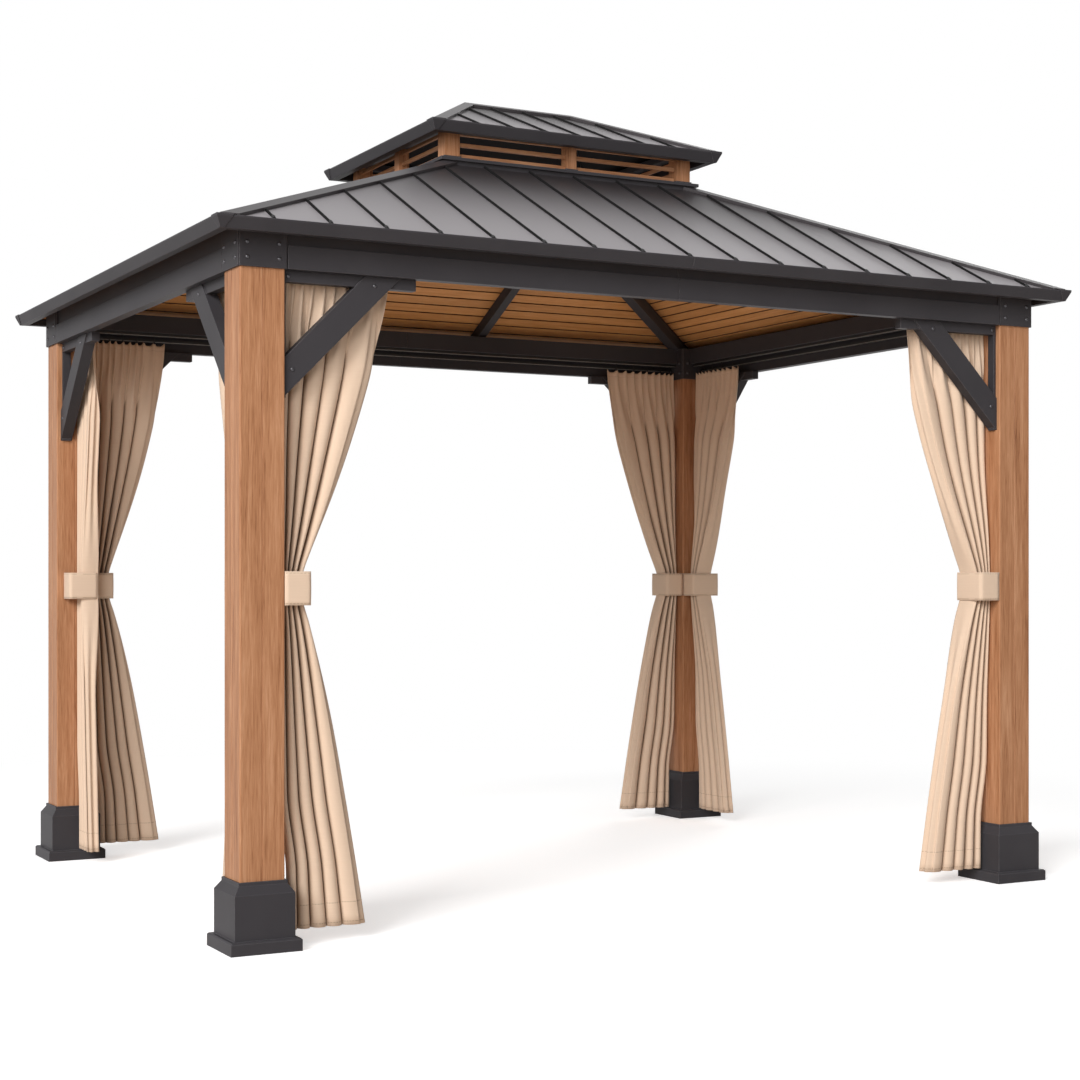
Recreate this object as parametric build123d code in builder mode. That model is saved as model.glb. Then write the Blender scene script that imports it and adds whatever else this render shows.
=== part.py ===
from build123d import *
import os
from math import atan2, cos, hypot, sin, sqrt, tan

os.makedirs("parts", exist_ok=True)

# Hardtop garden gazebo: four posts, a beam ring, a ribbed hip roof
# and a louvred cupola with its own hip roof.
# Millimetres, origin on the ground under the middle, +X along the front to the right, +Y to the back, +Z up.

# Layout of the whole
post_spacing_x = 3120.0
post_spacing_y = 2330.0
clear_height = 2185.0
eave_overhang = 104.0
roof_rise = 444.0
curb_length = 1120.0
curb_depth = 930.0
louvre_height = 118.0
cupola_overhang = 92.0
cupola_roof_rise = 212.0
ridge_length = 490.0

# Gap left between fitted pieces, and how far a bar runs past the piece that it is trimmed to
seat_gap = 0.3
overrun = 40.0

# Posts: square tubes with a seam groove down each face, welded to a bolted foot plate
post_width = 152.0
post_wall = 4.0
post_corner_radius = 5.0
post_groove_depth = 2.0
foot_plate_clearance = 3.0
foot_plate_thickness = 8.0
anchor_hole_radius = 5.5

# Base covers: pressed shells that slip down over the post foot
cover_flange_reach = 18.0
cover_flange_height = 42.0
cover_flange_chamfer = 5.0
cover_box_reach = 26.0
cover_box_height = 145.0
cover_shoulder_height = 27.0
cover_neck_wall = 7.0
cover_neck_height = 12.0
cover_wall = 4.0

# Corner brackets: square sleeves round the post heads, level with the beams, grooved at their edges
bracket_wall = 7.5
bracket_groove = 5.0

# Beams: hollow box sections on an outer fascia, which stands proud and hides the curtain tracks
beam_height = 150.0
beam_depth = 120.0
beam_band_height = 76.0
beam_step = 12.0
beam_fascia_depth = 40.0
beam_wall = 4.0
beam_joint_gap = 2.0

# Curtain tracks: slotted rails behind the fascia, the inner one under the box and the outer one lower down
track_width = 18.0
track_height = 14.0
track_wall = 2.0
track_slot = 6.0
track_inset = 25.0
track_drop = 21.0

# Curtains: drawn to the posts and tied in at the waist
curtain_top_width = 400.0
curtain_thickness = 44.0
curtain_waist_width = 90.0
curtain_hem_width = 310.0
curtain_hem_height = 48.0
curtain_cover_gap = 6.0
tie_height = 110.0
tie_middle_height = 1160.0
tie_wall = 3.0
tie_depth = 150.0

# Corner braces: a diagonal bar with a rail under the beam and a strip on the post
brace_reach = 410.0
brace_bar_width = 88.0
brace_thickness = 46.0
brace_rail_length = 470.0
brace_rail_height = 36.0
brace_rail_thickness = 34.0
brace_strip_thickness = 10.0
brace_curtain_gap = 3.0

# Roof sheets: flat pans with raised ribs, over a boarded ceiling
pan_thickness = 3.0
pan_setback = 14.0
pan_drop = 6.0
pan_hip_margin = 3.0
pan_apex_cut = 20.0
rib_pitch = 194.0
cupola_rib_pitch = 145.0
rib_width = 7.0
rib_height = 9.0
rib_taper = 9.0
rib_start = 4.0
rib_shortest = 40.0
ceiling_thickness = 12.0
ceiling_setback = 12.0
ceiling_hip_margin = 12.0

# Hip and ridge caps: folded strips over the ends of the ribs
cap_wing = 36.0
cap_thickness = 3.0

# Rafters under the ceiling
hip_rafter_width = 50.0
hip_rafter_depth = 60.0
rafter_width = 40.0
rafter_depth = 50.0
rafter_spacing = 800.0

# Gutters: flat leaning eave trim that is also the trough, with covers over the mitred corners
gutter_height = 40.0
gutter_inset = 16.0
gutter_lip = 5.0
gutter_width = 46.0
gutter_wall = 3.0
gutter_joint_gap = 1.0
corner_cover_length = 54.0
corner_cover_foot = 28.0
corner_cover_wall = 2.0

# Cupola: a curb on the main roof, corner and middle posts in boots, louvre slats and a top frame
curb_wall = 25.0
curb_drop = 70.0
curb_ledge = 14.0
curb_ledge_height = 12.0
cupola_post_width = 62.0
cupola_post_setback = 12.0
cupola_middle_post_width = 44.0
cupola_boot_wall = 5.0
cupola_boot_height = 9.0
slat_count = 3
slat_width = 15.0
slat_thickness = 8.0
slat_setback = 16.0
slat_tilt = 76.0
slat_pitch = 43.0
slat_first = 13.0
slat_end_gap = 6.0
top_frame_width = 40.0
top_frame_height = 26.0

# Places along and across that follow from the sizes above
up = Vector(0, 0, 1)
bracket_half = post_width / 2 + seat_gap + bracket_wall
beam_outer = (post_spacing_x / 2 + bracket_half, post_spacing_y / 2 + bracket_half)
beam_inner = (beam_outer[0] - beam_depth, beam_outer[1] - beam_depth)
eave_half = (beam_outer[0] + eave_overhang, beam_outer[1] + eave_overhang)
curb_half = (curb_length / 2, curb_depth / 2)
cupola_half = (curb_half[0] - cupola_post_setback, curb_half[1] - cupola_post_setback)
cupola_eave_half = (cupola_half[0] + cupola_overhang, cupola_half[1] + cupola_overhang)
brace_inset = track_inset + curtain_thickness / 2 + brace_curtain_gap + brace_thickness / 2
cover_box_width = post_width + 2 * cover_box_reach
cover_inner_width = cover_box_width - 2 * cover_wall
foot_plate_width = cover_inner_width - 2 * foot_plate_clearance

# Sides: outward direction, direction along the side, names of the ends met going along it
sides = {
    "front": (Vector(0, -1, 0), Vector(1, 0, 0), ("left", "right")),
    "right": (Vector(1, 0, 0), Vector(0, 1, 0), ("front", "back")),
    "back": (Vector(0, 1, 0), Vector(-1, 0, 0), ("right", "left")),
    "left": (Vector(-1, 0, 0), Vector(0, -1, 0), ("back", "front")),
}
corners = {"front_left": (-1, -1), "front_right": (1, -1), "back_left": (-1, 1), "back_right": (1, 1)}


def reach(side, pair):
    """Distance from the middle out to a side, from a pair of half sizes along X and Y."""
    return pair[1] if side in ("front", "back") else pair[0]


def half_length(side, pair):
    """Half of the length of a side, from a pair of half sizes along X and Y."""
    return pair[0] if side in ("front", "back") else pair[1]


def section_plane(side, along=0.0):
    """Upright plane across a side: local x runs outward from the middle, local y is the height."""
    outward, direction, _ = sides[side]
    return Plane(direction * along, x_dir=outward, z_dir=direction * -1)


def face_plane(side, distance):
    """Upright plane along a side: local x runs along it, local y is the height."""
    outward, direction, _ = sides[side]
    return Plane(outward * distance, x_dir=direction, z_dir=outward)


def corner_plane(corner, height=0.0):
    x_sign, y_sign = corners[corner]
    return Plane((x_sign * post_spacing_x / 2, y_sign * post_spacing_y / 2, height))


def save(piece, name):
    piece.part.label = name
    export_step(piece.part, f"parts/{name}.step")


def make_tier(eave, head, rise, support, support_top, depth, head_cap, pitch):
    """Hip roof whose sheets, a depth thick, rest on the outer edges of what carries them."""
    eave_pan = (eave[0] - pan_setback, eave[1] - pan_setback)
    heights = []
    slopes = [atan2(rise, reach(side, eave_pan) - reach(side, head)) for side in ("front", "right")]
    for side, slope in zip(("front", "right"), slopes):
        overhang_rise = (reach(side, eave_pan) - reach(side, support)) * tan(slope)
        heights.append(support_top + seat_gap + depth / cos(slope) - overhang_rise)
    low = max(heights)
    cap_rise = (rib_height + seat_gap + cap_thickness) * hypot(1, tan(slopes[0]), tan(slopes[1]))
    return {
        "eave": eave_pan,
        "head": head,
        "low": low,
        "high": low + rise,
        "cap_top": low + rise + cap_rise,
        "depth": depth,
        "head_cap": head_cap,
        "pitch": pitch,
    }


# Heights that follow from the sizes above, and the two roofs
beam_top = clear_height + beam_height
ceiling_depth = pan_thickness + seat_gap + ceiling_thickness
main_roof = make_tier(
    eave_half,
    curb_half,
    roof_rise,
    beam_outer,
    beam_top,
    depth=ceiling_depth,
    head_cap=0.0,
    pitch=rib_pitch,
)
curb_top = main_roof["cap_top"] + seat_gap + curb_ledge_height
top_frame_bottom = curb_top + louvre_height
top_frame_top = top_frame_bottom + top_frame_height
ridge_half = (ridge_length / 2, 0.0)
cupola_roof = make_tier(
    cupola_eave_half,
    ridge_half,
    cupola_roof_rise,
    cupola_half,
    top_frame_top,
    depth=pan_thickness,
    head_cap=cap_wing + seat_gap,
    pitch=cupola_rib_pitch,
)
cover_shoulder_bottom = cover_flange_height + cover_box_height
cover_shoulder_top = cover_shoulder_bottom + cover_shoulder_height
step_height = clear_height + beam_band_height
track_bottom = step_height - seat_gap - track_height
curtain_top = track_bottom - seat_gap


# Slopes of a roof
def slope_angle(tier, side):
    return atan2(tier["high"] - tier["low"], reach(side, tier["eave"]) - reach(side, tier["head"]))


def slope_plane(tier, side):
    """Plane of the pan tops: local x along the eave, local y up the slope."""
    outward, direction, _ = sides[side]
    angle = slope_angle(tier, side)
    origin = outward * reach(side, tier["eave"]) + up * tier["low"]
    return Plane(origin, x_dir=direction, z_dir=outward * sin(angle) + up * cos(angle))


def slope_length(tier, side):
    return (reach(side, tier["eave"]) - reach(side, tier["head"])) / cos(slope_angle(tier, side))


def slope_narrowing(tier, side):
    """How much a slope loses at each end for each unit of length up the slope."""
    return (half_length(side, tier["eave"]) - half_length(side, tier["head"])) / slope_length(tier, side)


def slope_outline(tier, side, depth, start, hip_margin):
    """Corners of a sheet that reaches a depth below the pan tops, clear of its neighbours."""
    angle = slope_angle(tier, side)
    narrowing = slope_narrowing(tier, side)
    half = half_length(side, tier["eave"]) - hip_margin * hypot(1, narrowing)
    head = slope_length(tier, side) - (seat_gap + depth * sin(angle)) / cos(angle)
    head = min(head, half / narrowing - pan_apex_cut)
    low = half - start * narrowing
    high = half - head * narrowing
    return [(-low, start), (low, start), (high, head), (-high, head)]


def rib_places(tier, side):
    """Place along the eave and upper end of each rib, which stops at the hip cap or at the head."""
    narrowing = slope_narrowing(tier, side)
    half = half_length(side, tier["eave"]) - rib_width / 2 - (cap_wing + seat_gap) * hypot(1, narrowing)
    longest = slope_length(tier, side) - seat_gap - tier["head_cap"]
    count = int(half / tier["pitch"])
    places = []
    for step in range(-count, count + 1):
        along = step * tier["pitch"]
        end = min((half - abs(along)) / narrowing, longest)
        if end > rib_start + rib_shortest:
            places.append((along, end))
    return places


def roof_sheet(tier, side):
    """One slope of a roof: a pan with its ribs."""
    plane = slope_plane(tier, side)
    with BuildPart() as sheet:
        with BuildSketch(plane):
            Polygon(*slope_outline(tier, side, pan_thickness, 0.0, pan_hip_margin), align=None)
        extrude(amount=-pan_thickness)
        with BuildSketch(plane):
            for along, end in rib_places(tier, side):
                with Locations((along, (rib_start + end) / 2)):
                    Rectangle(rib_width, end - rib_start)
        extrude(amount=rib_height, taper=rib_taper)
    return sheet


# Hips
def corner_sides(corner):
    x_sign, y_sign = corners[corner]
    return "front" if y_sign < 0 else "back", "left" if x_sign < 0 else "right"


def hip_plane(tier, corner):
    """Plane square to a hip at its foot, with local y upward, and the length of the hip."""
    x_sign, y_sign = corners[corner]
    foot = Vector(x_sign * tier["eave"][0], y_sign * tier["eave"][1], tier["low"])
    head = Vector(x_sign * tier["head"][0], y_sign * tier["head"][1], tier["high"])
    line = head - foot
    return Plane(foot, x_dir=up.cross(line), z_dir=line), line.length


def section_normals(plane, tier, two_sides):
    """Normals of two slopes as seen in a section plane."""
    normals = [slope_plane(tier, side).z_dir for side in two_sides]
    return [Vector(normal.dot(plane.x_dir), normal.dot(plane.y_dir), 0) for normal in normals]


def fold_point(normals, height):
    """Point of a section that lies at one height over both slopes."""
    first, second = normals
    cross = first.X * second.Y - first.Y * second.X
    return Vector(height * (second.Y - first.Y) / cross, height * (first.X - second.X) / cross, 0)


def cap_outline(normals):
    """Section of a folded cap with turned down edges over the line where two slopes meet."""
    first, second = normals
    first_down = Vector(first.Y, -first.X, 0) * (1 if first.X > 0 else -1)
    second_down = Vector(second.Y, -second.X, 0) * (1 if second.X > 0 else -1)
    inner = rib_height + seat_gap
    outer = inner + cap_thickness
    edge = cap_wing - cap_thickness
    points = [
        first_down * cap_wing + first * seat_gap,
        first_down * cap_wing + first * outer,
        fold_point(normals, outer),
        second_down * cap_wing + second * outer,
        second_down * cap_wing + second * seat_gap,
        second_down * edge + second * seat_gap,
        second_down * edge + second * inner,
        fold_point(normals, inner),
        first_down * edge + first * inner,
        first_down * edge + first * seat_gap,
    ]
    return [(point.X, point.Y) for point in points]


def rectangle_at(height, half_sizes, margin=0.0):
    """Level rectangle about the middle, larger than the half sizes by a margin."""
    with BuildSketch(Plane.XY.offset(height)) as outline:
        Rectangle(2 * (half_sizes[0] + margin), 2 * (half_sizes[1] + margin))
    return outline.sketch


# Posts
post_groove_side = post_groove_depth * sqrt(2)
anchor_spacing = (post_width + foot_plate_width) / 2
for corner in corners:
    with BuildPart() as post:
        with BuildSketch(corner_plane(corner)):
            RectangleRounded(post_width, post_width, post_corner_radius)
            with PolarLocations(post_width / 2, 4):
                Rectangle(post_groove_side, post_groove_side, rotation=45, mode=Mode.SUBTRACT)
            Rectangle(post_width - 2 * post_wall, post_width - 2 * post_wall, mode=Mode.SUBTRACT)
        extrude(amount=beam_top)
        with BuildSketch(corner_plane(corner)):
            Rectangle(foot_plate_width, foot_plate_width)
            with GridLocations(anchor_spacing, anchor_spacing, 2, 2):
                Circle(anchor_hole_radius, mode=Mode.SUBTRACT)
        extrude(amount=foot_plate_thickness)
    save(post, f"post_{corner}")


# Base covers
def square_at(corner, height, width):
    with BuildSketch(corner_plane(corner, height)) as outline:
        Rectangle(width, width)
    return outline.sketch


cover_neck_width = post_width + 2 * cover_neck_wall
cover_bore = post_width + 2 * seat_gap
for corner in corners:
    with BuildPart() as cover:
        extrude(square_at(corner, 0.0, cover_box_width + 2 * cover_flange_reach), amount=cover_flange_height)
        chamfer(cover.faces().sort_by(Axis.Z)[-1].edges(), cover_flange_chamfer)
        extrude(square_at(corner, cover_flange_height, cover_box_width), amount=cover_box_height)
        shoulder = square_at(corner, cover_shoulder_bottom, cover_box_width)
        neck = square_at(corner, cover_shoulder_top, cover_neck_width)
        loft([shoulder, neck])
        extrude(neck, amount=cover_neck_height)
        extrude(square_at(corner, 0.0, cover_inner_width), amount=cover_shoulder_bottom, mode=Mode.SUBTRACT)
        inner_shoulder = square_at(corner, cover_shoulder_bottom, cover_inner_width)
        bore = square_at(corner, cover_shoulder_top, cover_bore)
        loft([inner_shoulder, bore], mode=Mode.SUBTRACT)
        extrude(bore, amount=cover_neck_height, mode=Mode.SUBTRACT)
    save(cover, f"base_cover_{corner}")

# Corner brackets
with BuildPart() as corner_brackets:
    for corner in corners:
        with BuildSketch(corner_plane(corner, clear_height)):
            Rectangle(2 * bracket_half, 2 * bracket_half)
            with GridLocations(2 * bracket_half, 2 * bracket_half, 2, 2):
                Rectangle(2 * bracket_groove, 2 * bracket_groove, mode=Mode.SUBTRACT)
            Rectangle(cover_bore, cover_bore, mode=Mode.SUBTRACT)
        extrude(amount=beam_height)
save(corner_brackets, "corner_brackets")

# Beams, the long ones in two halves that meet in the middle
for side in sides:
    outer = reach(side, beam_outer)
    length = half_length(side, beam_outer) - 2 * bracket_half - seat_gap
    with BuildPart() as beam:
        with BuildSketch(section_plane(side)) as beam_section:
            with BuildLine():
                Polyline(
                    (outer - beam_depth, step_height),
                    (outer - beam_fascia_depth, step_height),
                    (outer - beam_fascia_depth, clear_height),
                    (outer, clear_height),
                    (outer, step_height),
                    (outer - beam_step, step_height),
                    (outer - beam_step, beam_top),
                    (outer - beam_depth, beam_top),
                    close=True,
                )
            make_face()
            offset(amount=-beam_wall, kind=Kind.INTERSECTION, mode=Mode.SUBTRACT)
        extrude(amount=length, both=True)
        if side in ("front", "back"):
            with BuildSketch(face_plane(side, outer - beam_depth)):
                with Locations((0, clear_height + beam_height / 2)):
                    Rectangle(beam_joint_gap, beam_height)
            extrude(amount=beam_depth, mode=Mode.SUBTRACT)
    save(beam, f"{side}_beam")

# Corner braces, one along each side from each post
with BuildPart() as corner_braces:
    for side in sides:
        distance = reach(side, beam_inner) + brace_inset
        post_face = half_length(side, beam_outer) - bracket_half - post_width / 2 - seat_gap
        top = clear_height - seat_gap
        slant = brace_bar_width * sqrt(2)
        for end in (-1, 1):
            with BuildSketch(face_plane(side, distance)):
                Polygon(
                    (end * post_face, top - brace_reach),
                    (end * (post_face - brace_reach), top),
                    (end * (post_face - brace_reach + slant), top),
                    (end * post_face, top - brace_reach + slant),
                    align=None,
                )
            extrude(amount=brace_thickness / 2, both=True)
            with BuildSketch(face_plane(side, distance)):
                with Locations((end * (post_face - brace_rail_length / 2), top - brace_rail_height / 2)):
                    Rectangle(brace_rail_length, brace_rail_height)
                with Locations((end * (post_face - brace_strip_thickness / 2), top - brace_reach / 2)):
                    Rectangle(brace_strip_thickness, brace_reach)
            extrude(amount=brace_rail_thickness / 2, both=True)
save(corner_braces, "corner_braces")

# Curtain tracks, two along each side
with BuildPart() as curtain_tracks:
    for side in sides:
        inner_place = (reach(side, beam_inner) + track_inset, track_bottom)
        fascia_face = reach(side, beam_outer) - beam_fascia_depth
        outer_place = (fascia_face - seat_gap - track_width / 2, track_bottom - track_drop)
        length = half_length(side, beam_outer) - 2 * bracket_half - seat_gap
        with BuildSketch(section_plane(side)):
            for across, height in (inner_place, outer_place):
                with Locations((across, height + track_height / 2)):
                    Rectangle(track_width, track_height)
                    Rectangle(track_width - 2 * track_wall, track_height - 2 * track_wall, mode=Mode.SUBTRACT)
                with Locations((across, height)):
                    Rectangle(track_slot, 2 * track_wall, mode=Mode.SUBTRACT)
        extrude(amount=length, both=True)
save(curtain_tracks, "curtain_tracks")

# Roof sheets, ceilings and gutters of the four main slopes
for side in sides:
    save(roof_sheet(main_roof, side), f"{side}_roof_sheet")

with BuildPart() as ceiling_panels:
    for side in sides:
        ceiling_plane = slope_plane(main_roof, side).offset(-ceiling_depth)
        with BuildSketch(ceiling_plane):
            outline = slope_outline(main_roof, side, ceiling_depth, ceiling_setback, ceiling_hip_margin)
            Polygon(*outline, align=None)
        extrude(amount=ceiling_thickness)
save(ceiling_panels, "ceiling_panels")


def gutter_section(tier, side, eave):
    """Trough section: lip, leaning face, flat bottom and a back that rises to the sheets above it."""
    outer = reach(side, eave)
    top = tier["low"] + pan_drop
    bottom = top - gutter_height
    angle = min(slope_angle(tier, "front"), slope_angle(tier, "right"))
    back_run = gutter_width - gutter_wall - pan_setback
    back_top = tier["low"] + back_run * tan(angle) - tier["depth"] / cos(angle) - seat_gap
    lip_inner = outer - 2 * gutter_wall
    foot_outer = outer - gutter_inset
    foot_inner = foot_outer - gutter_wall
    back_inner = outer - gutter_width + gutter_wall
    with BuildSketch(section_plane(side)) as section:
        with BuildLine():
            Polyline(
                (lip_inner, top),
                (outer, top),
                (outer, top - gutter_lip),
                (foot_outer, bottom),
                (outer - gutter_width, bottom),
                (outer - gutter_width, back_top),
                (back_inner, back_top),
                (back_inner, bottom + gutter_wall),
                (foot_inner, bottom + gutter_wall),
                (lip_inner, top - gutter_lip),
                close=True,
            )
        make_face()
    return section.sketch


def gutter_piece(tier, side, eave, has_joint):
    """Gutter of one side, mitred at both corners, with a joint in the middle of a long one."""
    outward, direction, _ = sides[side]
    length = half_length(side, eave)
    with BuildPart() as gutter:
        extrude(gutter_section(tier, side, eave), amount=length, both=True)
        for end in (-1, 1):
            tip = outward * reach(side, eave) + direction * (end * (length - seat_gap))
            split(bisect_by=Plane(tip, z_dir=direction * end - outward), keep=Keep.BOTTOM)
        if has_joint:
            with BuildSketch(face_plane(side, reach(side, eave) - gutter_width)):
                with Locations((0, tier["low"] + pan_drop - gutter_height / 2)):
                    Rectangle(gutter_joint_gap, 2 * gutter_height)
            extrude(amount=gutter_width, mode=Mode.SUBTRACT)
    return gutter


def corner_cover_section(tier, side, eave, along):
    """Thin strip that follows the lip and the face on the outside."""
    inner = reach(side, eave) + seat_gap
    outer = inner + corner_cover_wall
    back = inner - 2 * gutter_wall
    top = tier["low"] + pan_drop
    lip_bottom = top - gutter_lip
    bottom = top - gutter_height
    with BuildSketch(section_plane(side, along)) as section:
        with BuildLine():
            Polyline(
                (inner, lip_bottom),
                (inner, top + seat_gap),
                (back, top + seat_gap),
                (back, top + seat_gap + corner_cover_wall),
                (outer, top + seat_gap + corner_cover_wall),
                (outer, lip_bottom),
                (outer - gutter_inset, bottom),
                (inner - gutter_inset, bottom),
                close=True,
            )
        make_face()
    return section.sketch


def corner_cover(tier, side, eave):
    """Cover over the mitred corner at the far end of a side, with legs that are shorter at the foot."""
    outward, direction, _ = sides[side]
    along = half_length(side, eave)
    tip = outward * reach(side, eave) + direction * along + up * (tier["low"] + pan_drop)
    with BuildPart() as cover:
        with BuildLine() as path:
            Polyline(tip - direction * corner_cover_length, tip, tip - outward * corner_cover_length)
        section = corner_cover_section(tier, side, eave, along - corner_cover_length)
        sweep(section, path=path.wire(), transition=Transition.RIGHT)
        for leg in (direction, outward):
            slant = leg * gutter_height + up * (corner_cover_length - corner_cover_foot)
            split(bisect_by=Plane(tip - leg * corner_cover_length, z_dir=slant), keep=Keep.TOP)
    return cover


def corner_covers(tier, eave):
    """Covers over the four mitred corners of a gutter."""
    with BuildPart() as covers:
        for side in sides:
            add(corner_cover(tier, side, eave).part)
    return covers


for side in sides:
    save(gutter_piece(main_roof, side, eave_half, side in ("front", "back")), f"{side}_gutter")
save(corner_covers(main_roof, eave_half), "gutter_corner_covers")

# Hip caps of the main roof, trimmed to the eaves and round the curb
with BuildPart() as hip_caps:
    for corner in corners:
        plane, length = hip_plane(main_roof, corner)
        with BuildSketch(plane.offset(-overrun)):
            Polygon(*cap_outline(section_normals(plane, main_roof, corner_sides(corner))), align=None)
        extrude(amount=length + 2 * overrun)
    extrude(rectangle_at(0.0, main_roof["eave"]), amount=top_frame_top, mode=Mode.INTERSECT)
    extrude(rectangle_at(0.0, curb_half, seat_gap), amount=top_frame_top, mode=Mode.SUBTRACT)
save(hip_caps, "hip_caps")


# Rafters, notched over the beams and trimmed to the curb
def trim_rafters():
    """Room taken by the beams and the post heads, which the rafters sit on."""
    with BuildSketch() as frame_top:
        Rectangle(2 * (beam_outer[0] + eave_overhang), 2 * (beam_outer[1] + eave_overhang))
        Rectangle(2 * (beam_inner[0] - seat_gap), 2 * (beam_inner[1] - seat_gap), mode=Mode.SUBTRACT)
        with GridLocations(post_spacing_x, post_spacing_y, 2, 2):
            Rectangle(2 * (bracket_half + seat_gap), 2 * (bracket_half + seat_gap))
    return frame_top.sketch


with BuildPart() as hip_rafters:
    for corner in corners:
        plane, length = hip_plane(main_roof, corner)
        normals = section_normals(plane, main_roof, corner_sides(corner))
        room = ceiling_depth + seat_gap
        top = min(-(room + abs(normal.X) * hip_rafter_width / 2) / normal.Y for normal in normals)
        with BuildSketch(plane):
            with Locations((0, top - hip_rafter_depth / 2)):
                Rectangle(hip_rafter_width, hip_rafter_depth)
        extrude(amount=length + overrun)
    extrude(rectangle_at(0.0, beam_outer), amount=top_frame_top, mode=Mode.INTERSECT)
    extrude(rectangle_at(0.0, curb_half, seat_gap), amount=top_frame_top, mode=Mode.SUBTRACT)
    extrude(trim_rafters(), amount=beam_top + seat_gap, mode=Mode.SUBTRACT)
save(hip_rafters, "hip_rafters")

with BuildPart() as long_side_rafters:
    for side in ("front", "back"):
        angle = slope_angle(main_roof, side)
        drop = (ceiling_depth + seat_gap) / cos(angle)
        low = reach(side, beam_outer)
        high = reach(side, curb_half) + seat_gap
        low_top = main_roof["low"] + (reach(side, main_roof["eave"]) - low) * tan(angle) - drop
        high_top = main_roof["low"] + (reach(side, main_roof["eave"]) - high) * tan(angle) - drop
        for end in (-1, 1):
            with BuildSketch(section_plane(side, end * rafter_spacing / 2)):
                Polygon(
                    (low, low_top),
                    (high, high_top),
                    (high, high_top - rafter_depth / cos(angle)),
                    (low, low_top - rafter_depth / cos(angle)),
                    align=None,
                )
            extrude(amount=rafter_width / 2, both=True)
    extrude(trim_rafters(), amount=beam_top + seat_gap, mode=Mode.SUBTRACT)
save(long_side_rafters, "long_side_rafters")


# Cupola curb with a ledge round its top and a boot for the foot of each post
def cupola_feet(height, margin):
    """Outlines of the feet of the corner and middle posts, larger by a margin."""
    corner_spacing = [2 * half - cupola_post_width for half in cupola_half]
    middle_spacing = [half - cupola_middle_post_width / 2 for half in cupola_half]
    corner_foot = cupola_post_width + 2 * margin
    middle_foot = cupola_middle_post_width + 2 * margin
    with BuildSketch(Plane.XY.offset(height)) as feet:
        with GridLocations(*corner_spacing, 2, 2):
            Rectangle(corner_foot, corner_foot)
        for end in (-1, 1):
            with Locations((end * middle_spacing[0], 0), (0, end * middle_spacing[1])):
                Rectangle(middle_foot, middle_foot)
    return feet.sketch


with BuildPart() as cupola_curb:
    curb_inner = (curb_half[0] - curb_wall, curb_half[1] - curb_wall)
    curb_bottom = main_roof["high"] - curb_drop
    extrude(rectangle_at(curb_bottom, curb_half), amount=curb_top - curb_bottom)
    extrude(rectangle_at(curb_top - curb_ledge_height, curb_half, curb_ledge), amount=curb_ledge_height)
    extrude(rectangle_at(curb_bottom, curb_inner), amount=curb_top - curb_bottom, mode=Mode.SUBTRACT)
    extrude(cupola_feet(curb_top, cupola_boot_wall), amount=cupola_boot_height)
    extrude(cupola_feet(curb_top, seat_gap), amount=cupola_boot_height, mode=Mode.SUBTRACT)
save(cupola_curb, "cupola_curb")

# Cupola corner posts
with BuildPart() as cupola_posts:
    with BuildSketch(Plane.XY.offset(curb_top + seat_gap)):
        with GridLocations(*[2 * half - cupola_post_width for half in cupola_half], 2, 2):
            Rectangle(cupola_post_width, cupola_post_width)
    extrude(amount=louvre_height - 2 * seat_gap)
save(cupola_posts, "cupola_posts")

# Louvres: steep slats carried by a post in the middle of each side, cut out over its boot
with BuildPart() as cupola_louvres:
    for side in sides:
        outer = reach(side, cupola_half)
        with BuildSketch(section_plane(side)):
            for slat in range(slat_count):
                height = curb_top + slat_first + slat * slat_pitch
                with Locations((outer - slat_setback, height)):
                    Rectangle(slat_width, slat_thickness, rotation=-slat_tilt)
        extrude(amount=half_length(side, cupola_half) - cupola_post_width - slat_end_gap, both=True)
    boot_room = cupola_feet(curb_top, cupola_boot_wall + seat_gap)
    extrude(boot_room, amount=cupola_boot_height + seat_gap, mode=Mode.SUBTRACT)
    for side in sides:
        with BuildSketch(face_plane(side, reach(side, cupola_half) - cupola_middle_post_width)):
            with Locations((0, curb_top + louvre_height / 2)):
                Rectangle(cupola_middle_post_width, louvre_height - 2 * seat_gap)
        extrude(amount=cupola_middle_post_width)
save(cupola_louvres, "cupola_louvres")

# Top frame of the cupola
with BuildPart() as cupola_top_frame:
    extrude(rectangle_at(top_frame_bottom, cupola_half), amount=top_frame_height)
    frame_opening = rectangle_at(top_frame_bottom, cupola_half, -top_frame_width)
    extrude(frame_opening, amount=top_frame_height, mode=Mode.SUBTRACT)
save(cupola_top_frame, "cupola_top_frame")

# Cupola roof: sheets, gutter with its corner covers, and the caps on its hips and ridge
with BuildPart() as cupola_roof_sheets:
    for side in sides:
        add(roof_sheet(cupola_roof, side).part)
save(cupola_roof_sheets, "cupola_roof_sheets")

with BuildPart() as cupola_gutter:
    for side in sides:
        add(gutter_piece(cupola_roof, side, cupola_eave_half, False).part)
save(cupola_gutter, "cupola_gutter")
save(corner_covers(cupola_roof, cupola_eave_half), "cupola_corner_covers")

with BuildPart() as cupola_caps:
    for corner in corners:
        plane, length = hip_plane(cupola_roof, corner)
        with BuildSketch(plane.offset(-overrun)):
            Polygon(*cap_outline(section_normals(plane, cupola_roof, corner_sides(corner))), align=None)
        extrude(amount=length + overrun)
    ridge_plane = Plane((-ridge_length / 2, 0, cupola_roof["high"]), x_dir=(0, 1, 0), z_dir=(1, 0, 0))
    with BuildSketch(ridge_plane):
        Polygon(*cap_outline(section_normals(ridge_plane, cupola_roof, ("front", "back"))), align=None)
    extrude(amount=ridge_length)
    extrude(rectangle_at(0.0, cupola_roof["eave"]), amount=2 * top_frame_top, mode=Mode.INTERSECT)
save(cupola_caps, "cupola_caps")

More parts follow.
